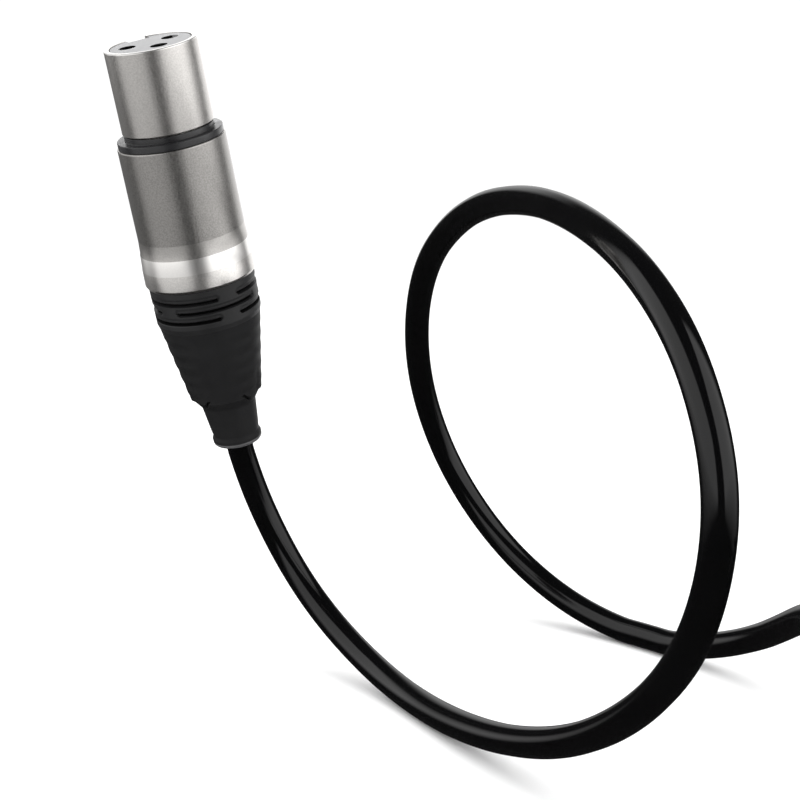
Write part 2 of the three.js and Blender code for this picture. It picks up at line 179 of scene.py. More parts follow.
COIL_MID_R = 28.8
COIL_COLUMNS = 5
COIL_ROWS = 4
COIL_IN_R = COIL_MID_R - (COIL_COLUMNS - 1) / 2 * CORD_D
COIL_OUT_R = COIL_MID_R + (COIL_COLUMNS - 1) / 2 * CORD_D
COIL_TURNS = 13.5
PEEL_LENGTH = 20  # of the straight runs to the first turn and from the last one
STRAP_W = 8
STRAP_T = 1.2
STRAP_CORNER_R = 2.0
STRAP_EDGE_R = 0.35
STRAP_TURN = 0.75  # where the strap is, as a share of a turn from +X
STRAP_LIFT = 1.35  # how far the strap holds the turns up off the floor

# ---- camera -------------------------------------------------------------------------------------

CAMERA_LENS = 81
CAMERA_AT = (0.042, -0.30823, -0.01984)
CAMERA_TILT = 82.5  # degrees up from straight down


def make_camera():
    data = bpy.data.cameras.new("camera")
    data.lens = CAMERA_LENS
    camera = bpy.data.objects.new("camera", data)
    bpy.context.scene.collection.objects.link(camera)
    camera.location = CAMERA_AT
    camera.rotation_euler = (math.radians(CAMERA_TILT), 0, 0)
    bpy.context.scene.camera = camera


make_camera()

# ---- materials ----------------------------------------------------------------------------------


def node(tree, kind, inputs=None, **settings):
    made = tree.nodes.new("ShaderNode" + kind)
    for key, value in settings.items():
        setattr(made, key, value)
    for key, value in (inputs or {}).items():
        if isinstance(value, bpy.types.NodeSocket):
            tree.links.new(value, made.inputs[key])
        else:
            made.inputs[key].default_value = value
    return made


def blank(name, **fixed):
    """A material with one Principled shader. `fixed` are sockets that are the same all over."""
    made = bpy.data.materials.new(name)
    made.use_nodes = True
    tree = made.node_tree
    shader = tree.nodes["Principled BSDF"]
    for socket, value in fixed.items():
        shader.inputs[socket.replace("_", " ")].default_value = value
    return made, tree, shader


def place_of(tree):
    return node(tree, "TexCoord").outputs["Object"]


def noise(tree, grain_mm, detail=2.0, stretch=(1, 1, 1)):
    """A noise whose grains are about that many millimetres across."""
    where = node(tree, "Mapping", {"Vector": place_of(tree), "Scale": stretch}).outputs["Vector"]
    inputs = {"Vector": where, "Scale": 1 / (grain_mm * MM), "Detail": detail, "Roughness": 0.55}
    return node(tree, "TexNoise", inputs).outputs["Fac"]


def ranged(tree, value, low, high, start=0.3, stop=0.7):
    inputs = {"Value": value, "From Min": start, "From Max": stop, "To Min": low, "To Max": high}
    return node(tree, "MapRange", inputs).outputs["Result"]


def mixed(tree, factor, a, b):
    made = node(tree, "Mix", data_type="RGBA")
    tree.links.new(factor, made.inputs[0])
    for place, color in ((6, a), (7, b)):
        if isinstance(color, bpy.types.NodeSocket):
            tree.links.new(color, made.inputs[place])
        else:
            made.inputs[place].default_value = (*color, 1)
    return made.outputs[2]


def relief(tree, shader, height, depth_mm, below=None):
    inputs = {"Height": height, "Distance": depth_mm * MM, "Strength": 1.0}
    if below is not None:
        inputs["Normal"] = below
    made = node(tree, "Bump", inputs)
    tree.links.new(made.outputs["Normal"], shader.inputs["Normal"])
    return made.outputs["Normal"]


def moulded(name, dark, light, rough, mottle_mm=2.5, grain_mm=0.12, grain_depth_mm=0.004, **fixed):
    """Moulded plastic or rubber: slow colour change, uneven polish and a fine spark-eroded grain."""
    made, tree, shader = blank(name, **fixed)
    mottle = noise(tree, mottle_mm, 3.0)
    grain = noise(tree, grain_mm, 2.0)
    tree.links.new(mixed(tree, mottle, dark, light), shader.inputs["Base Color"])
    tree.links.new(ranged(tree, mottle, *rough), shader.inputs["Roughness"])
    relief(tree, shader, grain, grain_depth_mm)
    return made


def satin_nickel(name, dark, light, rough, grain_depth_mm):
    """Nickel plate over a finely blasted casting: it glitters where the light grazes it."""
    made, tree, shader = blank(name, Metallic=1.0)
    grain = noise(tree, 0.26, 3.0)
    cloud = noise(tree, 3.5, 2.0)
    fleck = ranged(tree, grain, 0.0, 1.0, 0.36, 0.64)
    tone = mixed(tree, fleck, dark, light)
    haze = ranged(tree, cloud, 0.0, 0.22)
    tree.links.new(mixed(tree, haze, tone, dark), shader.inputs["Base Color"])
    tree.links.new(ranged(tree, grain, *rough), shader.inputs["Roughness"])
    coarse = relief(tree, shader, noise(tree, 0.5, 1.5), grain_depth_mm * 1.2)
    relief(tree, shader, grain, grain_depth_mm, coarse)
    return made


def plated(name, dark, light, rough, streak=(1, 1, 1)):
    """Bright metal with drawn or handling marks."""
    made, tree, shader = blank(name, Metallic=1.0)
    marks = noise(tree, 0.3, 4.0, streak)
    tree.links.new(mixed(tree, marks, dark, light), shader.inputs["Base Color"])
    tree.links.new(ranged(tree, marks, *rough), shader.inputs["Roughness"])
    relief(tree, shader, marks, 0.002)
    return made


def jacket_material():
    """Glossy extruded PVC: a slow waviness bends its reflections, with a trace of dust-fine grain."""
    made, tree, shader = blank("cord_jacket", Specular_IOR_Level=0.5)
    wave = noise(tree, 9.0, 1.0)
    grain = noise(tree, 0.25, 2.0)
    tone = mixed(tree, wave, (0.0010, 0.0010, 0.0012), (0.0020, 0.0020, 0.0022))
    tree.links.new(tone, shader.inputs["Base Color"])
    tree.links.new(ranged(tree, grain, 0.09, 0.13), shader.inputs["Roughness"])
    slow = relief(tree, shader, wave, 0.007)
    relief(tree, shader, grain, 0.0008, slow)
    return made


def strap_material():
    """Napped hook-and-loop tape: a mat of fine loops over a plain weave."""
    made, tree, shader = blank("strap_fabric", Sheen_Weight=0.35, Sheen_Roughness=0.5,
                               Specular_IOR_Level=0.2)
    where = place_of(tree)
    weave = [
        node(tree, "TexWave", {"Vector": where, "Scale": 430.0, "Distortion": 1.2, "Detail": 1.0},
             bands_direction=direction).outputs["Fac"]
        for direction in ("X", "Z")
    ]
    cloth = node(tree, "Math", {0: weave[0], 1: weave[1]}, operation="MULTIPLY").outputs[0]
    loops = noise(tree, 0.18, 4.0)
    height = node(tree, "Math", {0: cloth, 1: loops}, operation="ADD").outputs[0]
    tone = mixed(tree, loops, (0.006, 0.006, 0.007), (0.035, 0.035, 0.038))
    tree.links.new(tone, shader.inputs["Base Color"])
    tree.links.new(ranged(tree, loops, 0.8, 1.0), shader.inputs["Roughness"])
    relief(tree, shader, height, 0.12)
    return made


def make_looks():
    return {
        "nickel": satin_nickel("satin_nickel", (0.26, 0.252, 0.242), (0.36, 0.348, 0.335),
                               (0.29, 0.41), 0.019),
        "nickel_soft": satin_nickel("soft_nickel", (0.44, 0.426, 0.41), (0.56, 0.543, 0.524),
                                    (0.29, 0.39), 0.017),
        # lighter copies of the satin nickel, which paint highlights on the shell's bands, its front chamfer and
        # the noses' rims
        "nickel_painted_faint_highlight": satin_nickel("painted_faint_highlight_nickel", (0.36, 0.349, 0.336), (0.43, 0.417, 0.402),
                                    (0.29, 0.37), 0.012),
        "nickel_painted_half_highlight": satin_nickel("painted_half_highlight_nickel", (0.60, 0.585, 0.565), (0.74, 0.72, 0.695),
                                   (0.30, 0.36), 0.004),
        "nickel_painted_full_highlight": satin_nickel("painted_full_highlight_nickel", (0.75, 0.735, 0.715), (0.79, 0.775, 0.755),
                                      (0.30, 0.34), 0.001),
        "black": moulded("black_plastic", (0.008, 0.008, 0.009), (0.015, 0.015, 0.016), (0.26, 0.38)),
        "boot": moulded("boot_rubber", (0.0066, 0.0066, 0.007), (0.0105, 0.0105, 0.011), (0.52, 0.64),
                        mottle_mm=4.0, grain_mm=0.09, grain_depth_mm=0.006, Specular_IOR_Level=0.14),
        "boot_top": moulded("boot_collar", (0.0075, 0.0075, 0.008), (0.0115, 0.0115, 0.012), (0.44, 0.56),
                            mottle_mm=4.0, grain_mm=0.09, grain_depth_mm=0.004, Specular_IOR_Level=0.32),
        # a lighter rubber that paints a highlight on the lip's rounded end
        "boot_lip": moulded("boot_lip", (0.045, 0.045, 0.047), (0.08, 0.08, 0.082), (0.3, 0.42)),
        "grey": moulded("grey_plastic", (0.22, 0.22, 0.224), (0.28, 0.28, 0.284), (0.42, 0.55),
                        Specular_IOR_Level=0.25),
        # a near-black look that paints shade on the floors of the boots' slots and on the walls inside the
        # insert's holes
        "dark": moulded("painted_deep_shade", (0.0012, 0.0012, 0.0012), (0.0022, 0.0022, 0.0022), (0.8, 0.95),
                        Specular_IOR_Level=0.1),
        "white": moulded("white_plastic", (0.66, 0.65, 0.60), (0.76, 0.75, 0.71), (0.35, 0.5)),
        "red": moulded("red_plastic", (0.28, 0.012, 0.010), (0.38, 0.025, 0.018), (0.35, 0.5)),
        "gold": plated("gold_contact", (0.62, 0.40, 0.14), (0.80, 0.56, 0.22), (0.16, 0.3)),
        "steel": plated("spring_steel", (0.40, 0.40, 0.41), (0.56, 0.56, 0.57), (0.2, 0.35), (1, 1, 4)),
        "copper": plated("tinned_copper", (0.45, 0.42, 0.38), (0.66, 0.63, 0.58), (0.3, 0.5), (6, 6, 1)),
        "jacket": jacket_material(),
        "strap": strap_material(),
    }


LOOKS = make_looks()

# ---- the cord -----------------------------------------------------------------------------------

LOOP_POINTS = [
    (18.2, 21.5, -87.4), (22.5, 19.5, -95), (28.3, 14, -101.9), (36.55, 1.8, -107.55),
    (44.2, -13.4, -109.55), (51.5, -29.9, -108.8), (59.5, -46.3, -106.1), (67.5, -62, -100.5),
    (74.5, -75.5, -91.5), (79.6, -86.5, -78.5), (81.5, -90, -61), (78.8, -83, -45.1), (74.4, -69, -35),
    (70, -52, -29.5), (66, -35, -26.7), (62, -17.5, -25.8), (57, 0, -26.8), (52.1, 16.5, -30.6),
    (47.5, 32, -38.3), (45.4, 45.5, -50.5), (46.7, 55, -65.4), (52.6, 58.5, -81.9),
    (62.5, 54.5, -96.4), (74.2, 44.5, -105.8), (85.7, 31.8, -109.6), (96, 17.5, -108.8),
    (104.3, 3, -103.6), (108.2, -10.5, -97.45), (109.8, -21, -92.9),
]


def catmull_rom(points, step):
    """Points about `step` apart on a centripetal Catmull-Rom curve through the given ones."""
    first = points[0] * 2 - points[1]
    last = points[-1] * 2 - points[-2]
    all_points = [first, *points, last]
    line = []
    for p0, p1, p2, p3 in zip(all_points, all_points[1:], all_points[2:], all_points[3:]):
        t1 = math.sqrt((p1 - p0).length)
        t2 = t1 + math.sqrt((p2 - p1).length)
        t3 = t2 + math.sqrt((p3 - p2).length)
        count = max(1, round((p2 - p1).length / step))
        for i in range(count):
            t = t1 + (t2 - t1) * i / count
            a1 = p0.lerp(p1, t / t1)
            a2 = p1.lerp(p2, (t - t1) / (t2 - t1))
            a3 = p2.lerp(p3, (t - t2) / (t3 - t2))
            b1 = a1.lerp(a2, t / t2)
            b2 = a2.lerp(a3, (t - t1) / (t3 - t1))
            line.append(b1.lerp(b2, (t - t1) / (t2 - t1)))
    line.append(points[-1])
    return line


def passed(line, free, times_over):
    """The line with each free point drawn towards its neighbours' middle, over and over."""
    line = list(line)
    for _ in range(times_over):
        pulled = [line[i].lerp((line[i - 1] + line[i + 1]) / 2, 0.5) for i in free]
        for i, point in zip(free, pulled):
            line[i] = point
    return line


def faired(line, loop_end, coil_start):
    """The line with the free loop's curvature evened out, and then the corner behind it rounded.

    The loop keeps its size, because the result is twice the once smoothed line less the twice smoothed one.
    """
    corner, last = (
        min(range(len(line)), key=lambda i: (line[i] - place).length) for place in (loop_end, coil_start)
    )
    free = range(3, corner)  # the first three points lead straight out of the boot
    once = passed(line, free, FAIRING_PASSES)
    twice = passed(once, free, FAIRING_PASSES)
    lowest = FLOOR_Z / MM + CORD_R
    sized = [a * 2 - b for a, b in zip(once, twice)]
    made = passed(sized, range(corner - CORNER_REACH, last), CORNER_PASSES)
    return [Vector((p.x, p.y, max(p.z, lowest))) for p in made]


def smooth(t):
    t = min(max(t, 0.0), 1.0)
    return t * t * (3 - 2 * t)


def coil_middle():
    low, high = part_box("cord_coil")
    return (low + high) / 2 / MM


def coil_points():
    """The stored turns: in along the top row, then out, in and out again down to the bottom row."""
    rows = [(1.5, -1), (4, 1), (4, -1), (4, 1)]  # turns, and 1 for outward or -1 for inward
    middle = coil_middle()
    points_per_turn = 18
    drop_half_width = {True: 1 / 6, False: 1 / 9}  # in turns, after an inward row or an outward one
    points = []
    for i in range(1, round(COIL_TURNS * points_per_turn)):
        turn = i / points_per_turn
        row, before = 0, 0.0
        while turn > before + rows[row][0]:
            before += rows[row][0]
            row += 1
        length, outward = rows[row]
        share = (turn - before) / length
        if row == 0:
            share = smooth(share)
        radius = COIL_IN_R + (COIL_OUT_R - COIL_IN_R) * (share if outward > 0 else 1 - share)
        drops, edge = 0.0, 0.0
        for length, outward in rows[:-1]:
            edge += length
            half = drop_half_width[outward < 0]
            drops += smooth((turn - edge + half) / (2 * half))
        angle = math.pi + 2 * math.pi * turn
        from_strap = abs((0.5 + turn - STRAP_TURN + 0.5) % 1 - 0.5)
        lift = STRAP_LIFT * (1 - smooth((from_strap - 0.035) / 0.1))
        height = FLOOR_Z / MM + CORD_R + (COIL_ROWS - 1 - drops) * CORD_D + lift
        flat = Vector((middle.x + radius * math.cos(angle), middle.y + radius * math.sin(angle)))
        points.append(Vector((flat.x, flat.y, height)))
    return points


def cord_line():
    """The whole route, from just inside the female boot to just inside the male one."""
    middle = coil_middle()
    top = FLOOR_Z / MM + CORD_R + (COIL_ROWS - 1) * CORD_D
    low = FLOOR_Z / MM + CORD_R
    entry_x = middle.x - COIL_OUT_R
    exit_x = middle.x + COIL_OUT_R
    male_exit = MALE @ Vector((0, 0, -BOOT_END * MM)) / MM
    leave = middle.y + PEEL_LENGTH
    points = [FEMALE @ Vector((0, 0, -depth * MM)) / MM + Vector((aside, 0, aside / 3))
              for depth, aside in ((BOOT_END - BOOT_OVERLAP, 0.25), (BOOT_END + 7, 0.6))]
    points += [Vector(p) for p in LOOP_POINTS]
    coil_start = Vector((entry_x, middle.y, top))
    points += [Vector((entry_x, leave, top)), coil_start]
    points += coil_points()
    points += [
        Vector((exit_x, middle.y, low)), Vector((exit_x, leave, low)),
        Vector((exit_x, leave + 9, low + 0.7)), Vector((exit_x, leave + 17, (low + male_exit.z) / 2)),
        Vector((exit_x, leave + 25, male_exit.z - 0.7)),
        Vector((exit_x, male_exit.y - 7, male_exit.z)),
        Vector((exit_x, male_exit.y + BOOT_OVERLAP, male_exit.z)),
    ]
    return faired(catmull_rom(points, LINE_STEP), Vector(LOOP_POINTS[-1]), coil_start)


def make_cord():
    line = cord_line()
    data = bpy.data.curves.new("cord_run", "CURVE")
    data.dimensions = "3D"
    data.bevel_depth = CORD_R * MM
    data.bevel_resolution = 6
    data.use_fill_caps = True
    spline = data.splines.new("POLY")
    spline.points.add(len(line) - 1)
    for point, place in zip(spline.points, line):
        point.co = (*(place * MM), 1)
    spline.use_smooth = True
    data.materials.append(LOOKS["jacket"])
    cord = bpy.data.objects.new("cord_run", data)
    bpy.context.scene.collection.objects.link(cord)
    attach(cord, "root")
    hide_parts("cord", "cord_coil", "cord_tail")
    return cord


cord_run = make_cord()

# ---- shape helpers ------------------------------------------------------------------------------


def filleted(outline):
    """An outline of (radius, depth, fillet) points with each corner that has a fillet made round."""
    points = []
    count = len(outline)
    for i, (r, depth, *fillet) in enumerate(outline):
        size = fillet[0] if fillet else 0
        here = Vector((r, depth))
        if not size:
            points.append(here)
            continue
        before = Vector(outline[i - 1][:2]) - here
        after = Vector(outline[(i + 1) % count][:2]) - here
        half = before.angle(after) / 2
        back = min(size / math.tan(half), before.length * 0.49, after.length * 0.49)
        start = here + before.normalized() * back
        stop = here + after.normalized() * back
        steps = max(2, math.ceil((math.pi - 2 * half) / math.radians(18)))
        for k in range(steps + 1):
            t = k / steps
            points.append(start * (1 - t) ** 2 + here * 2 * t * (1 - t) + stop * t * t)
    return points


def resampled(points, spacing):
    """The points again, with others between them so that none are further apart than `spacing`."""
    made = []
    for a, b in zip(points, points[1:]):
        count = max(1, math.ceil((b - a).length / spacing))
        made += [a.lerp(b, k / count) for k in range(count)]
    return made + [points[-1]]


def turned(outline, steps=144, closed=True, spacing=None, fine=0, shape=None):
    """A solid of revolution from an outline of (radius, depth, fillet) points.

    The first `fine` outline points are resampled at `spacing`, and `shape(angle, depth)` moves that
    stretch in or out, in millimetres. Angles are in degrees from +X towards +Y.
    """
    if fine:
        skin = resampled(filleted(outline[:fine + 1])[:-1], spacing)
        rest = [Vector(p[:2]) for p in outline[fine:]]
    else:
        skin, rest = [], filleted(outline)
    profile = skin + rest
    bm = bmesh.new()
    rings = []
    for index, point in enumerate(profile):
        r, depth = point
        if r < 1e-6:
            rings.append([bm.verts.new((0, 0, -depth * MM))])
            continue
        ring = []
        for k in range(steps):
            angle = 360 * k / steps
            out = r + (shape(angle, depth) if shape and index < len(skin) else 0)
            turn = math.radians(angle)
            ring.append(bm.verts.new((out * math.cos(turn) * MM, out * math.sin(turn) * MM, -depth * MM)))
        rings.append(ring)
    pairs = list(zip(rings, rings[1:]))
    if closed:
        pairs.append((rings[-1], rings[0]))
    for a, b in pairs:
        bridge(bm, a, b, steps)
    bmesh.ops.recalc_face_normals(bm, faces=bm.faces)
    return bm


def bridge(bm, a, b, steps):
    """Faces between two rings of `steps` points, either of which may be a single point."""
    for k in range(steps):
        n = (k + 1) % steps
        if len(a) == 1 and len(b) > 1:
            bm.faces.new((a[0], b[k], b[n]))
        elif len(b) == 1 and len(a) > 1:
            bm.faces.new((a[k], b[0], a[n]))
        elif len(a) > 1:
            bm.faces.new((a[k], b[k], b[n], a[n]))


def block(x0, x1, y0, y1, depth0, depth1):
    """A box between those limits in a connector's frame."""
    bm = bmesh.new()
    bmesh.ops.create_cube(bm, size=1)
    size = Matrix.Diagonal(((x1 - x0) * MM, (y1 - y0) * MM, (depth1 - depth0) * MM, 1))
    middle = Vector(((x0 + x1) / 2, (y0 + y1) / 2, -(depth0 + depth1) / 2)) * MM
    bm.transform(Matrix.Translation(middle) @ size)
    return bm


def rod(radius, depth0, depth1, x=0.0, y=0.0):
    """A round bar along the connector's axis."""
    bm = turned([(0, depth0), (radius, depth0), (radius, depth1), (0, depth1)], 48, closed=False)
    bm.transform(Matrix.Translation(Vector((x, y, 0)) * MM))
    return bm


def cross_rod(radius, half_length, y, depth):
    """A round bar along X."""
    bm = turned([(0, -half_length), (radius, -half_length), (radius, half_length), (0, half_length)],
                32, closed=False)
    bm.transform(Matrix.Translation(Vector((0, y, -depth)) * MM) @ Matrix.Rotation(math.pi / 2, 4, "Y"))
    return bm


def slab(outline, half_width):
    """A side outline of (y, depth) points made into a slab that is centred on x = 0."""
    bm = bmesh.new()
    sides = [
        [bm.verts.new(Vector((x, y, -depth)) * MM) for y, depth in outline]
        for x in (-half_width, half_width)
    ]
    bm.faces.new(sides[0])
    bm.faces.new(sides[1][::-1])
    for k in range(len(outline)):
        n = (k + 1) % len(outline)
        bm.faces.new((sides[0][n], sides[0][k], sides[1][k], sides[1][n]))
    bmesh.ops.recalc_face_normals(bm, faces=bm.faces)
    return bm


def as_object(bm, name):
    mesh = bpy.data.meshes.new(name)
    bm.to_mesh(mesh)
    bm.free()
    obj = bpy.data.objects.new(name, mesh)
    bpy.context.scene.collection.objects.link(obj)
    return obj


def worked(bm, cuts=(), joins=(), bevel_mm=0.0):
    """The solid with others joined to it or cut from it, and then its edges broken."""
    obj = as_object(bm, "blank")
    tools = []
    for operation, others in (("UNION", joins), ("DIFFERENCE", cuts)):
        for other in others:
            tool = as_object(other, "tool")
            modifier = obj.modifiers.new("work", "BOOLEAN")
            modifier.operation, modifier.object, modifier.solver = operation, tool, "EXACT"
            tools.append(tool)
    if bevel_mm:
        modifier = obj.modifiers.new("edges", "BEVEL")
        modifier.width, modifier.segments = bevel_mm * MM, 2
        modifier.limit_method, modifier.angle_limit = "ANGLE", math.radians(32)
        modifier.use_clamp_overlap = True
    graph = bpy.context.evaluated_depsgraph_get()
    made = bmesh.new()
    made.from_object(obj, graph)
    bmesh.ops.dissolve_degenerate(made, dist=0.001 * MM, edges=made.edges)
    for tool in [*tools, obj]:
        mesh = tool.data
        bpy.data.objects.remove(tool)
        bpy.data.meshes.remove(mesh)
    return made


def piece(name, bm, look, body, at, replaces=None, sharp=35, band=None):
    """Puts a finished shape in the scene. `band(radius, depth)` says which look a face has."""
    looks = [look] if isinstance(look, str) else look
    if band:
        for face in bm.faces:
            middle = face.calc_center_median() / MM
            face.material_index = band(math.hypot(middle.x, middle.y), -middle.z)
    bm.transform(at)
    obj = as_object(bm, name)
    for each in looks:
        obj.data.materials.append(LOOKS[each])
    obj.data.shade_smooth()
    obj.data.set_sharp_from_angle(angle=math.radians(sharp))
    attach(obj, body)
    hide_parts(replaces or name.replace("look_", ""))
    return obj


def contact_places():
    angles = [math.radians(a) for a in (90 + CONTACT_OFFSET_DEG, 90 - CONTACT_OFFSET_DEG, -90)]
    return [(CONTACT_CIRCLE_R * math.cos(a), CONTACT_CIRCLE_R * math.sin(a)) for a in angles]


# ---- pieces that both connectors have -----------------------------------------------------------


def shell_outline():
    return [
        (RING_BORE_R, BODY_FROM, 0.1), (BODY_R, BODY_FROM, 0.3), (BODY_R, BAND_FROM, 0.05),
        (9.56, BAND_2_FROM - 0.06), (9.63, BAND_2_FROM + 0.06), (9.8, BAND_3_FROM - 0.06),
        (9.84, BAND_3_FROM + 0.06), (BODY_MAX_R, BODY_END - 0.45, 0.15), (9.65, BODY_END, 0.1),
        (THREAD_BORE_R, BODY_END, 0.1), (THREAD_BORE_R, THREAD_FROM), (SHELL_ROOM_R, THREAD_FROM),
        (SHELL_ROOM_R, SHELL_ROOM_FROM), (RING_BORE_R, SHELL_ROOM_FROM),
    ]


def shell_band(radius, depth):
    """Which of the shell's looks a face has. The turned bands and the front chamfer get painted highlights."""
    if radius < BODY_R - 0.32:
        return 0
    if depth < BODY_FROM + 0.22:
        return 1
    return sum(depth > start for start in (BAND_FROM, BAND_2_FROM, BAND_3_FROM))


def make_shell(prefix, at, cuts=()):
    bm = turned(shell_outline(), 160)
    if cuts:
        bm = worked(bm, cuts=cuts, bevel_mm=0.12)
    # one nickel in lighter copies: painted highlights on the bands and the front chamfer, strongest on the middle
    # band
    looks = ["nickel", "nickel_painted_faint_highlight", "nickel_painted_full_highlight", "nickel_painted_half_highlight"]
    piece(f"look_{prefix}_shell", bm, looks, "root", at, band=shell_band)


def make_coding_ring(prefix, at, sleeve_r):
    front, back = NOSE_LENGTH + 0.25, BODY_FROM - 0.05
    bm = turned([
        (RING_BORE_R, front), (sleeve_r, front, 0.1), (sleeve_r, RING_FLANGE_FROM, 0.12),
        (RING_FLANGE_R, RING_FLANGE_FROM, 0.15), (RING_FLANGE_R, back, 0.06), (RING_BORE_R, back),
    ], 128)
    piece(f"look_{prefix}_coding_ring", bm, "black", "root", at)


def groove(offset, half_width, depth_mm, edge):
    """What a groove adds to the surface, which is never more than 0, at that distance from its middle."""
    return -depth_mm * (1 - smooth((abs(offset) - half_width + edge) / edge))


def slot_row(angle, depth, middle, first):
    """One row of three round-ended slots round the boot. They are deeper on the cable's side."""
    within = (angle - VIEW_TURN - first) % 120
    mm_per_degree = math.pi * BOOT_COLLAR_R / 180
    past = max(0.0, within - BOOT_SLOT_SPAN) * mm_per_degree
    if within > BOOT_SLOT_SPAN + 14.5:
        past = (120 - within) * mm_per_degree
    across = depth - middle
    reach = math.hypot(past, across)
    if reach > 0.75:
        return 0.0
    floor = 0.14 + 0.86 * smooth((across + 0.02) / 0.42)
    return groove(reach, BOOT_SLOT_HALF_W, floor, 0.14)


def boot_shape(angle, depth):
    """Everything that the mould adds to the boot's plain outline."""
    out = 0.0
    for middle, first in BOOT_SLOT_ROWS:
        out += slot_row(angle, depth, middle, first)
    if BOOT_RIBS_FROM < depth < BOOT_RIBS_TO:
        swell = math.cos(math.radians(3 * (angle - VIEW_TURN) + 200))
        fade = smooth((depth - BOOT_RIBS_FROM) / 1.5) * smooth((BOOT_RIBS_TO - depth) / 1.2)
        wave = math.sin(2 * math.pi * (depth - BOOT_RIBS_FROM) / BOOT_RIB_PITCH)
        out += fade * (0.04 + 0.04 * swell) * wave
    around = abs((angle - VIEW_TURN + 4 + 90) % 180 - 90)
    if FLAT_FROM < depth < BOOT_STEP + 0.05:
        left = min(1.0, (BOOT_STEP + 0.05 - depth) / 0.15)
        flat = 1 - smooth((around - FLAT_HALF_SPAN) / FLAT_FADE)
        out -= FLAT_DEPTH * left * flat * smooth((depth - FLAT_FROM) / (BOOT_STEP - FLAT_FROM))
    out += notches(around, depth)
    return out


def notches(around, depth):
    """Short slanted cuts where the side ledges run out into the flat faces, in mirrored pairs."""
    if not NOTCH_FROM < depth < NOTCH_TO:
        return 0.0
    middle = NOTCH_TURN + NOTCH_SLANT * (depth - 64.1)
    across = (around - middle) * math.pi * NOTCH_AT_R / 180
    along = smooth((depth - NOTCH_FROM) / 0.35) * smooth((NOTCH_TO - depth) / 0.35)
    return groove(across, NOTCH_HALF_W, NOTCH_DEPTH, 0.15) * along


def boot_band(radius, depth):
    """Which of the boot's looks a face has. The floors of the slots get painted shade, and the lip's rounded end a
    painted highlight.
    """
    # the lip's rounded end gets a painted highlight
    if depth > BOOT_END - BOOT_LIP_HIGHLIGHT_LENGTH and radius > BOOT_LIP_BORE_R:
        return 3
    if depth > BOOT_SHOULDER + 0.05 or radius < 8:
        return 0
    # the floors of the slots get painted shade
    return 2 if radius < BODY_R - 0.5 and depth < BOOT_SHOULDER - 1.2 else 1


def make_boot(prefix, at, lean_mm=0.0):
    """The rubber boot, whose cable end may lean to one side."""
    outline = [
        (7.8, BOOT_FROM), (9.45, BOOT_FROM, 0.12), (9.38, BOOT_SHOULDER - 0.9, 0.1),
        (9.1, BOOT_SHOULDER, 0.08), (6.52, BOOT_STEP - 0.1, 0.04), (6.15, BOOT_STEP + 0.05, 0.05),
        (4.95, 65.7, 0.5), (4.38, 70.6), (4.2, 71.7, 0.15), (4.5, 72.3, 0.3), (4.45, 73.2, 0.3),
        (BOOT_LIP_BORE_R, BOOT_END, 0.2), (BOOT_MOUTH_R, BOOT_END), (BOOT_BORE_R, 64.0),
        (BOOT_BORE_R, 61.0), (5.5, 56.0), (7.65, 50.3),
    ]
    bm = turned(outline, 320, spacing=0.13, fine=12, shape=boot_shape)
    aside = Matrix.Rotation(math.radians(VIEW_TURN + 90), 3, "Z") @ Vector((lean_mm * MM, 0, 0))
    for vert in bm.verts:
        share = (-vert.co.z / MM - BOOT_STEP) / (BOOT_END - BOOT_STEP)
        if share > 0:
            vert.co += aside * share
    piece(f"look_{prefix}_boot", bm, ["boot", "boot_top", "dark", "boot_lip"], f"{prefix}_cap", at,
          sharp=60, band=boot_band)


def bushing_thread(angle, depth):
    """The thread that screws into the shell, right-handed."""
    if not THREAD_CUT_FROM < depth < THREAD_CUT_TO:
        return 0.0
    turn = (depth / THREAD_PITCH + angle / 360) % 1
    fade = smooth((depth - THREAD_CUT_FROM) / 0.5) * smooth((THREAD_CUT_TO - depth) / 0.5)
    return THREAD_HEIGHT * smooth(1.7 - abs(turn - 0.5) * 5) * fade


def make_bushing(prefix, at):
    outline = [
        (5.7, 35.7), (7.4, 35.7, 0.2), (7.4, 41.6), (7.3, 50.0), (5.2, 55.0, 0.2),
        (4.1, 55.0), (4.1, 50.0), (5.7, 44.8),
    ]
    bm = turned(outline, 96, spacing=0.16, fine=5, shape=bushing_thread)
    piece(f"look_{prefix}_bushing", bm, "black", f"{prefix}_cap", at)


def make_contacts(prefix, kind, front, connector):
    """Three contacts with that front outline, each with an open solder cup at its back end."""
    outline = [*front, (CONTACT_R, 12.2), (CONTACT_R, CUP_END, 0.1), (0, CUP_END)]
    for index, (x, y) in enumerate(contact_places()):
        bm = turned(outline, 48, closed=False)
        bm = worked(bm, cuts=[rod(0.85, 25, 30), block(-2, 2, 0.35, 2, 25.6, 30)])
        at = connector @ Matrix.Translation(Vector((x, y, 0)) * MM)
        piece(f"look_{prefix}_{kind}_{index + 1}", bm, "gold", "root", at)


# ---- female connector ---------------------------------------------------------------------------


def make_nose():
    bm = turned([
        (NOSE_BORE_R, -RIM_PROUD, 0.08), (NOSE_R, -RIM_PROUD, 0.22), (NOSE_R, NOSE_LENGTH, 0.12),
        (NECK_R, NOSE_LENGTH), (NECK_R, NECK_END), (NECK_BORE_R, NECK_END),
        (NECK_BORE_R, NOSE_BORE_END), (NOSE_BORE_R, NOSE_BORE_END),
    ], 160)
    keyway = block(-SLOT_W / 2, SLOT_W / 2, 3, 9, -1, NECK_END + 1)
    bm = worked(bm, cuts=[keyway], bevel_mm=0.1)
    # the rim at the front gets a painted highlight in the brightest nickel copy
    piece("look_female_nose", bm, ["nickel_soft", "nickel_painted_full_highlight"], "root", FEMALE,
          band=lambda radius, depth: 1 if depth < -RIM_PROUD + 0.2 else 0)


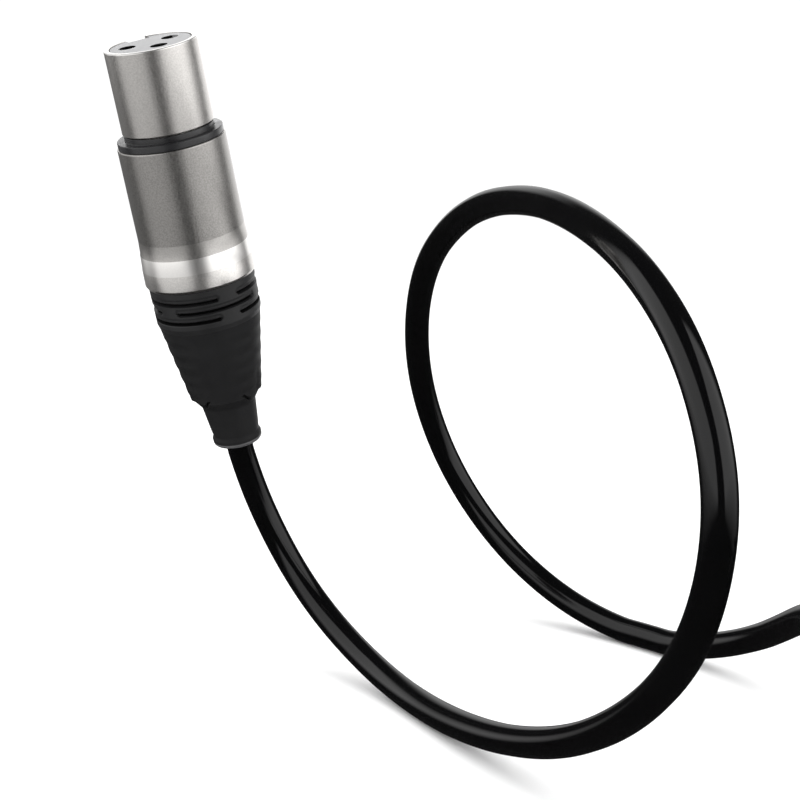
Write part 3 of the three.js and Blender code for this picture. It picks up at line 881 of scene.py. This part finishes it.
def make_insert_front():
    half_slot = SLOT_W / 2 + 0.05
    cuts = [block(-half_slot, half_slot, 5.3, 8, -1, 13), block(-half_slot, half_slot, 3.4, 8, 5.5, 13)]
    for x, y in contact_places():
        cuts += [rod(1.5, -1, 3, x, y), rod(2.1, 2.3, 13, x, y)]
    bm = turned([
        (0, INSERT_FACE), (INSERT_R, INSERT_FACE, 0.12),
        (INSERT_R, INSERT_FRONT_END), (0, INSERT_FRONT_END),
    ], 128, closed=False)
    bm = worked(bm, cuts=cuts, bevel_mm=0.1)
    # the walls inside the holes, behind the insert's face, get painted shade
    piece("look_female_insert_front", bm, ["grey", "dark"], "root", FEMALE,
          band=lambda radius, depth: int(depth > INSERT_FACE + 0.12 and radius < PAINTED_SHADE_WITHIN_R))


def make_latch():
    """One lever: hook at the front, ribbed button in the shell's window, pivot at the back."""
    lever = slab([
        (5.5, 7.6), (7.3, 7.6), (8.8, 9.4), (8.8, 10.6), (6.7, 10.6), (6.7, 31.4), (7.0, 31.8),
        (7.0, 34.2), (5.8, 34.9), (4.6, 34.2), (4.6, 31.8), (5.5, 30.9),
    ], LEVER_HALF_W)
    stalk = block(-LEVER_HALF_W, LEVER_HALF_W, 6.0, 7.6, BUTTON_FROM, BUTTON_TO)
    top = [(7.3, BUTTON_FROM), (9.5, BUTTON_FROM), (10.0, 19.2)]
    for k in range(4):
        start = BUTTON_RIBS_FROM + BUTTON_RIB_PITCH * k
        top += [(10.05, start), (9.7, start + 0.35), (9.7, start + 0.6), (10.1, start + 0.95)]
    top += [(10.0, 25.6), (9.5, BUTTON_TO), (7.3, BUTTON_TO)]
    button = slab(top, BUTTON_HALF_W)
    pocket = rod(1.35, -6.2, -4.0)  # room for the spring's top
    spring_at = Matrix.Translation(Vector((0, 0, -LATCH_SPRING_DEPTH)) * MM)
    pocket.transform(spring_at @ Matrix.Rotation(-math.pi / 2, 4, "X"))
    bm = worked(lever, cuts=[cross_rod(0.8, 5, PIVOT_Y, PIVOT_DEPTH), pocket], joins=[stalk, button],
                bevel_mm=0.12)
    piece("look_female_latch", bm, "nickel", "latch", FEMALE)


def make_female():
    make_nose()
    make_shell("female", FEMALE, [block(-3.3, 3.3, 4, 11, 18.2, 26.6)])
    make_coding_ring("female", FEMALE, RING_SLEEVE_R)
    make_insert_front()
    make_latch()
    front = [(0, 11.0), (1.25, 11.0), (1.25, 2.6, 0.1), (1.8, 2.6, 0.1), (1.8, 11.9, 0.1)]
    make_contacts("female", "socket", front, FEMALE)
    make_bushing("female", FEMALE)
    make_boot("female", FEMALE, BOOT_LEAN)


# ---- male connector -----------------------------------------------------------------------------


def make_skirt():
    bm = turned([
        (SKIRT_BORE_R, 0, 0.12), (SKIRT_R, 0, 0.25), (SKIRT_R, NOSE_LENGTH, 0.15), (NECK_R, NOSE_LENGTH),
        (NECK_R, NECK_END), (NECK_BORE_R, NECK_END), (NECK_BORE_R, SKIRT_BORE_END),
        (SKIRT_BORE_R, SKIRT_BORE_END),
    ], 160)
    key = block(-1.5, 1.5, 7.2, 8.8, 8.6, 11.7)
    recess = block(-2.1, 2.1, 7.5, 9.05, 4.2, 8.0)
    bm = worked(bm, cuts=[recess], joins=[key], bevel_mm=0.1)
    # the rim at the front gets a painted highlight in the brightest nickel copy
    piece("look_male_skirt", bm, ["nickel_soft", "nickel_painted_full_highlight"], "root", MALE,
          band=lambda radius, depth: 1 if depth < 0.2 else 0)


def make_male_insert():
    bm = turned([
        (0, 12.0), (SKIRT_BORE_R - 0.3, 12.0, 0.15), (SKIRT_BORE_R - 0.3, 12.6), (5.9, 12.6),
        (5.9, MALE_INSERT_END, 0.1), (0, MALE_INSERT_END),
    ], 96, closed=False)
    holes = [rod(1.5, 11, MALE_INSERT_END + 1, x, y) for x, y in contact_places()]
    bm = worked(bm, cuts=holes, bevel_mm=0.1)
    piece("look_male_insert", bm, "black", "root", MALE)


def make_male():
    make_skirt()
    make_shell("male", MALE)
    make_coding_ring("male", MALE, SKIRT_R - 0.5)
    make_male_insert()
    front = [(0, PIN_TIP), (PIN_R, PIN_TIP, 0.9), (PIN_R, 12.1)]
    make_contacts("male", "pin", front, MALE)
    make_bushing("male", MALE)
    make_boot("male", MALE)


# ---- the strap ----------------------------------------------------------------------------------


def tape(bm, path, closed):
    """Adds a run of the tape along a path of (outward, up) points, anticlockwise if outward is right."""
    half_w, half_t = STRAP_W / 2, STRAP_T / 2
    section = filleted([(across, thick, STRAP_EDGE_R) for across, thick in (
        (-half_w, -half_t), (half_w, -half_t), (half_w, half_t), (-half_w, half_t))])
    rings = []
    last = len(path) - 1
    for i, here in enumerate(path):
        before, after = (i - 1, (i + 1) % len(path)) if closed else (max(i - 1, 0), min(i + 1, last))
        along = (path[after] - path[before]).normalized()
        out = Vector((along.y, -along.x))
        ring = []
        for across, thick in section:
            spot = here + out * thick
            ring.append(bm.verts.new(Vector((across, -spot.x, spot.y)) * MM))
        rings.append(ring)
    for a, b in zip(rings, rings[1:] + rings[:1] if closed else rings[1:]):
        bridge(bm, a, b, len(section))
    if not closed:
        bm.faces.new(rings[0])
        bm.faces.new(rings[-1][::-1])


def make_strap():
    """Hook-and-loop tape closed round the turns, its free end lapped up the outside and over the top."""
    half_w = COIL_COLUMNS * CORD_D / 2 + 0.3
    low, high = 0.05, STRAP_T + COIL_ROWS * CORD_D + 0.6
    inside, outside = -half_w - 0.5, half_w
    corners = [
        (outside + STRAP_T / 2, low + STRAP_T / 2), (outside + STRAP_T / 2, high + STRAP_T / 2),
        (inside - STRAP_T / 2, high + STRAP_T / 2), (inside - STRAP_T / 2, low + STRAP_T / 2),
    ]
    path = filleted([(a, b, STRAP_CORNER_R) for a, b in corners])
    path = resampled([*path, path[0]], 0.5)[:-1]
    bm = bmesh.new()
    tape(bm, path, closed=True)
    side, above = outside + STRAP_T * 1.52, high + STRAP_T * 1.52
    lap = filleted([(side, low + 6), (side, above, STRAP_CORNER_R + STRAP_T), (inside + 9, above)])
    tape(bm, resampled(lap, 0.5), closed=False)
    bmesh.ops.recalc_face_normals(bm, faces=bm.faces)
    middle = coil_middle()
    at = Matrix.Translation(Vector((middle.x, middle.y - COIL_MID_R, FLOOR_Z / MM)) * MM)
    return piece("look_coil_strap", bm, "strap", "root", at)


# ---- carried-over CAD pieces --------------------------------------------------------------------


def dress(node_name, look):
    obj = frame["nodes"][node_name]
    obj.data.materials.clear()
    obj.data.materials.append(LOOKS[look])


def dress_inner_pieces():
    for prefix in ("female", "male"):
        dress(f"{prefix}_ground_spring", "steel")
        dress(f"{prefix}_cable_end", "jacket")
        dress(f"{prefix}_chuck", "white")
        dress(f"{prefix}_screen", "copper")
        dress(f"{prefix}_red_core", "red")
        dress(f"{prefix}_white_core", "white")
    dress("female_insert_rear", "grey")
    dress("female_latch_pin", "steel")
    dress("female_latch_spring", "steel")


make_female()
make_male()
strap = make_strap()
dress_inner_pieces()


# ---- studio -------------------------------------------------------------------------------------


def make_floor():
    bm = bmesh.new()
    bmesh.ops.create_grid(bm, x_segments=1, y_segments=1, size=6)
    bm.transform(Matrix.Translation((0, 0, FLOOR_Z)))
    floor = as_object(bm, "floor")
    made, tree, shader = blank("pale_floor", Roughness=0.9, Specular_IOR_Level=0.0)
    tone = mixed(tree, noise(tree, 400, 2.0), (0.93, 0.93, 0.93), (0.96, 0.96, 0.96))
    tree.links.new(tone, shader.inputs["Base Color"])
    floor.data.materials.append(made)
    floor.visible_glossy = False


def area_light(name, place, target, size, power):
    """A rectangular light that lights surfaces but is left out of reflections."""
    data = bpy.data.lights.new(name, "AREA")
    data.shape, data.size, data.size_y, data.energy = "RECTANGLE", *size, power
    light = bpy.data.objects.new(name, data)
    bpy.context.scene.collection.objects.link(light)
    light.location = place
    light.rotation_euler = (Vector(target) - Vector(place)).to_track_quat("-Z", "Y").to_euler()
    light.visible_glossy = False
    return light


def window(tree, value, low, high, soft=0.1):
    """1 where the value lies between the two limits and 0 elsewhere, with soft edges."""
    rise = {"Value": value, "From Min": low - soft, "From Max": low + soft}
    fall = {"Value": value, "From Min": high + soft, "From Max": high - soft}
    sides = [node(tree, "MapRange", edge).outputs["Result"] for edge in (rise, fall)]
    return times(tree, *sides)


def times(tree, *values):
    product = values[0]
    for value in values[1:]:
        product = node(tree, "Math", {0: product, 1: value}, operation="MULTIPLY").outputs[0]
    return product


def make_world():
    """A white room. In reflections it is dark, with two wide softboxes and a dimmer one at the back."""
    world = bpy.data.worlds.new("studio")
    bpy.context.scene.world = world
    world.use_nodes = True
    tree = world.node_tree
    way = node(tree, "SeparateXYZ", {0: node(tree, "TexCoord").outputs["Generated"]}).outputs
    aside = node(tree, "Math", {0: way["X"]}, operation="ABSOLUTE").outputs[0]
    along, up = (
        node(tree, "Math", {0: way[axis], 1: aside}, operation="DIVIDE").outputs[0] for axis in ("Y", "Z")
    )
    boxes = [
        times(tree, window(tree, way["X"], -2, 0, 0.001), window(tree, along, -2.75, 0.9, 0.2),
              window(tree, up, -0.08, 1.55, 0.15), 0.88),
        times(tree, window(tree, way["X"], 0, 2, 0.001), window(tree, along, -2.75, 0.38, 0.18),
              window(tree, up, -0.08, 3.6, 0.3), 1.06),
        times(tree, window(tree, way["X"], -0.26, 0.3, 0.06), window(tree, way["Y"], 0.5, 2),
              window(tree, way["Z"], -0.05, 0.4, 0.12), 0.55),
    ]
    level = 0.02
    for box in boxes:
        level = node(tree, "Math", {0: box, 1: level}, operation="ADD").outputs[0]
    seen = node(tree, "CombineXYZ", {axis: level for axis in "XYZ"}).outputs[0]
    glossy = node(tree, "LightPath").outputs["Is Glossy Ray"]
    back = tree.nodes["Background"]
    tree.links.new(mixed(tree, glossy, (1.08, 1.08, 1.08), seen), back.inputs["Color"])


METAL_LIGHTS = [  # azimuth, height, half width, half height, all in degrees, and radiance
    ("metal_left", -49.5, -14, 40, 32, 0.8),
    ("metal_right", 62.5, -8, 34.5, 32, 1.28),
    ("metal_rim", 160, 3, 29, 25, 1.6),
    ("metal_back", -142, -3, 33, 25, 0.18),
    ("metal_top", -168, 30, 22, 17, 1.4),
]
METAL_LIT = (
    "female_nose", "female_shell", "female_latch", "female_coding_ring", "female_boot",
    "female_insert_front", "male_skirt", "male_shell", "male_coding_ring", "male_boot",
)


def metal_light(pieces, name, azimuth, height, half_turn, half_height, radiance):
    """A softbox for the connectors alone. Its azimuth is 0 on the camera's side and grows to the right."""
    turn, rise = math.radians(azimuth), math.radians(height)
    way = Vector((math.sin(turn) * math.cos(rise), -math.cos(turn) * math.cos(rise), math.sin(rise)))
    middle = FEMALE @ Vector((0, 0, -BODY_FROM * MM))
    far = 0.6
    size = [2 * far * math.tan(math.radians(half)) for half in (half_turn, half_height)]
    light = area_light(name, middle + way * far, middle, size, radiance * math.pi * size[0] * size[1])
    light.visible_glossy = True
    light.visible_camera = False
    light.light_linking.receiver_collection = pieces
    light.light_linking.blocker_collection = pieces


def make_metal_lights():
    pieces = bpy.data.collections.new("plated_metal")
    for name in METAL_LIT:
        pieces.objects.link(bpy.data.objects["look_" + name])
    for light in METAL_LIGHTS:
        metal_light(pieces, *light)


def make_studio():
    make_floor()
    make_world()
    make_metal_lights()
    area_light("overhead", (0.05, 0.0, 1.1), (0.05, 0.0, -0.1), (1.3, 1.3), 9)
    area_light("side", (-0.9, -0.35, 0.55), (0.05, 0, -0.05), (0.35, 1.1), 4)
    bpy.context.scene.view_settings.view_transform = "Standard"


make_studio()
